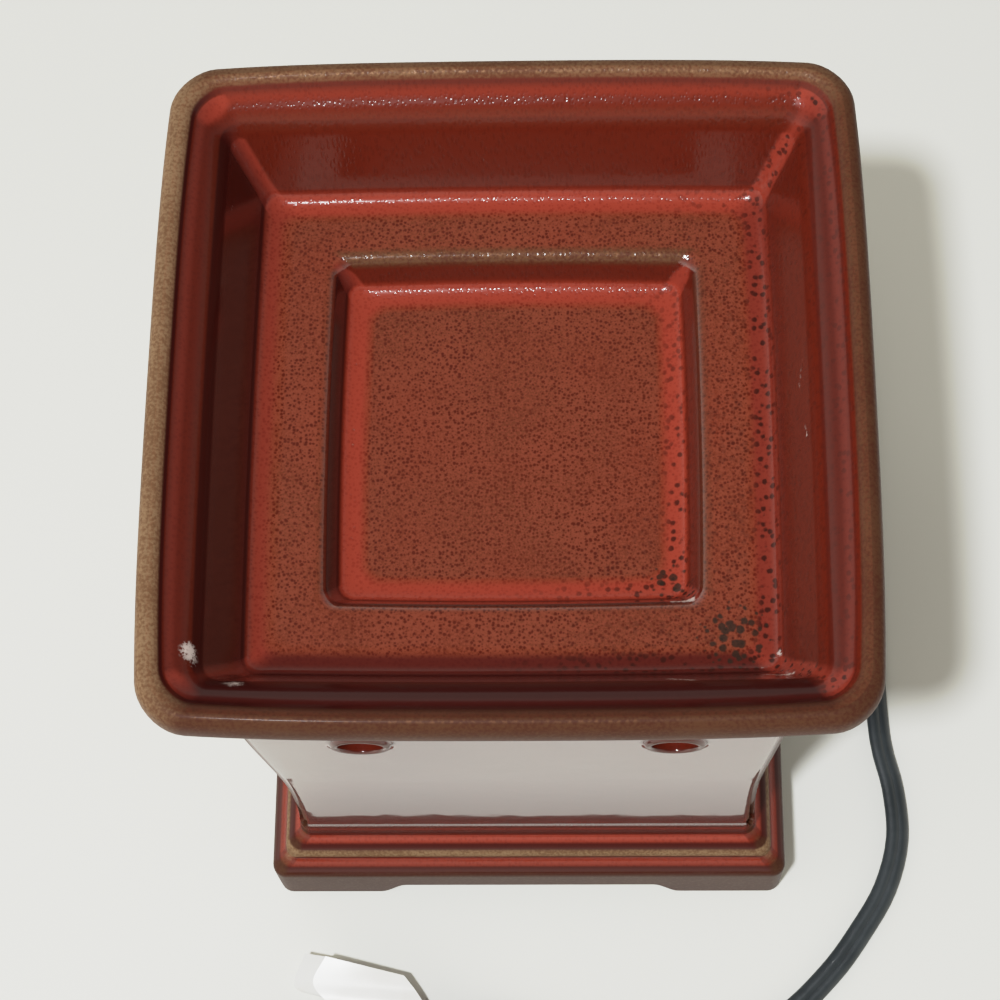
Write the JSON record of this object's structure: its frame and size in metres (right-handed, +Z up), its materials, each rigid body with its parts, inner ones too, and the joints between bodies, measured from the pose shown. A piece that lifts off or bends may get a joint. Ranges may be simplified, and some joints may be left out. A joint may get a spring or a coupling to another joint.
{
  "type": "wax warmer",
  "caption": "Square glazed ceramic wax warmer: a lift-off moulded dish on a tapered column with bracket feet, with a small lamp inside and a flat lead, hand switch and plug.",
  "frame": {"origin": "on the table, below the middle of the column", "axes": "+Z up, the front faces -Y, and the lead leaves the back towards +Y"},
  "size_m": [0.1655, 0.3406, 0.17],
  "materials": {
    "glaze_maroon": "gloss",
    "plate_steel": "satin",
    "pad_rubber": "matte",
    "zinc_steel": "satin",
    "phenolic_black": "satin",
    "brass": "satin",
    "solder": "satin",
    "lamp_glass": "polished",
    "tungsten": "satin",
    "wire_insulation": "satin",
    "lead_plastic": "satin",
    "tag_paper": "matte"
  },
  "bodies": {
    "column": {"body_shell": "glaze_maroon", "bottom_plate": "plate_steel", "foot_pad_1": "pad_rubber", "foot_pad_2": "pad_rubber", "foot_pad_3": "pad_rubber", "foot_pad_4": "pad_rubber", "wire_grommet": "pad_rubber", "coil_tie": "pad_rubber", "threaded_nipple": "zinc_steel", "plate_nut": "zinc_steel", "lower_nut": "zinc_steel", "lower_washer": "zinc_steel", "upper_washer": "zinc_steel", "upper_nut": "zinc_steel", "terminal_screw_neutral": "zinc_steel", "switch_axle": "zinc_steel", "switch_screw_1": "zinc_steel", "switch_screw_2": "zinc_steel", "holder_base": "phenolic_black", "holder_sleeve": "phenolic_black", "screw_shell": "brass", "centre_contact": "brass", "terminal_screw_live": "brass", "switch_contact_1": "brass", "switch_contact_2": "brass", "plug_blade_live": "brass", "plug_blade_neutral": "brass", "conductor_live": "wire_insulation", "conductor_neutral": "wire_insulation", "cord_bushing": "lead_plastic", "cord_lead": "lead_plastic", "switch_lower_case": "lead_plastic", "switch_upper_case": "lead_plastic", "cord_link": "lead_plastic", "cord_coil": "lead_plastic", "cord_tail": "lead_plastic", "plug_body": "lead_plastic", "cord_tag": "tag_paper"},
    "dish": {"warming_dish": "glaze_maroon"},
    "lamp_button": {"lamp_tip": "solder"},
    "lamp": {"lamp_insulator": "phenolic_black", "lamp_cap": "brass", "lamp_glass": "lamp_glass", "lamp_stem": "lamp_glass", "lamp_filament": "tungsten"},
    "thumb_wheel": {"switch_wheel": "lead_plastic"}
  },
  "joints": [
    {"name": "dish_lift", "type": "slide", "parent": "column", "child": "dish", "axis": [0, 0, 1], "range_m": [0, 0.06]},
    {"name": "lamp_rise", "type": "slide", "parent": "column", "child": "lamp_button", "axis": [0, 0, 1], "range_m": [0, 0.0077]},
    {"name": "lamp_turn", "type": "hinge", "parent": "lamp_button", "child": "lamp", "pos_m": [0, 0, 0.06], "axis": [0, 0, 1], "range_deg": [0, 1080]},
    {"name": "wheel_turn", "type": "hinge", "parent": "column", "child": "thumb_wheel", "pos_m": [-0.066, -0.143, 0.0103], "axis": [1, 0, 0], "continuous": true}
  ],
  "couplings": [
    {"joint": "lamp_rise", "follows": "lamp_turn", "m_per_rad": 0.00040425}
  ]
}
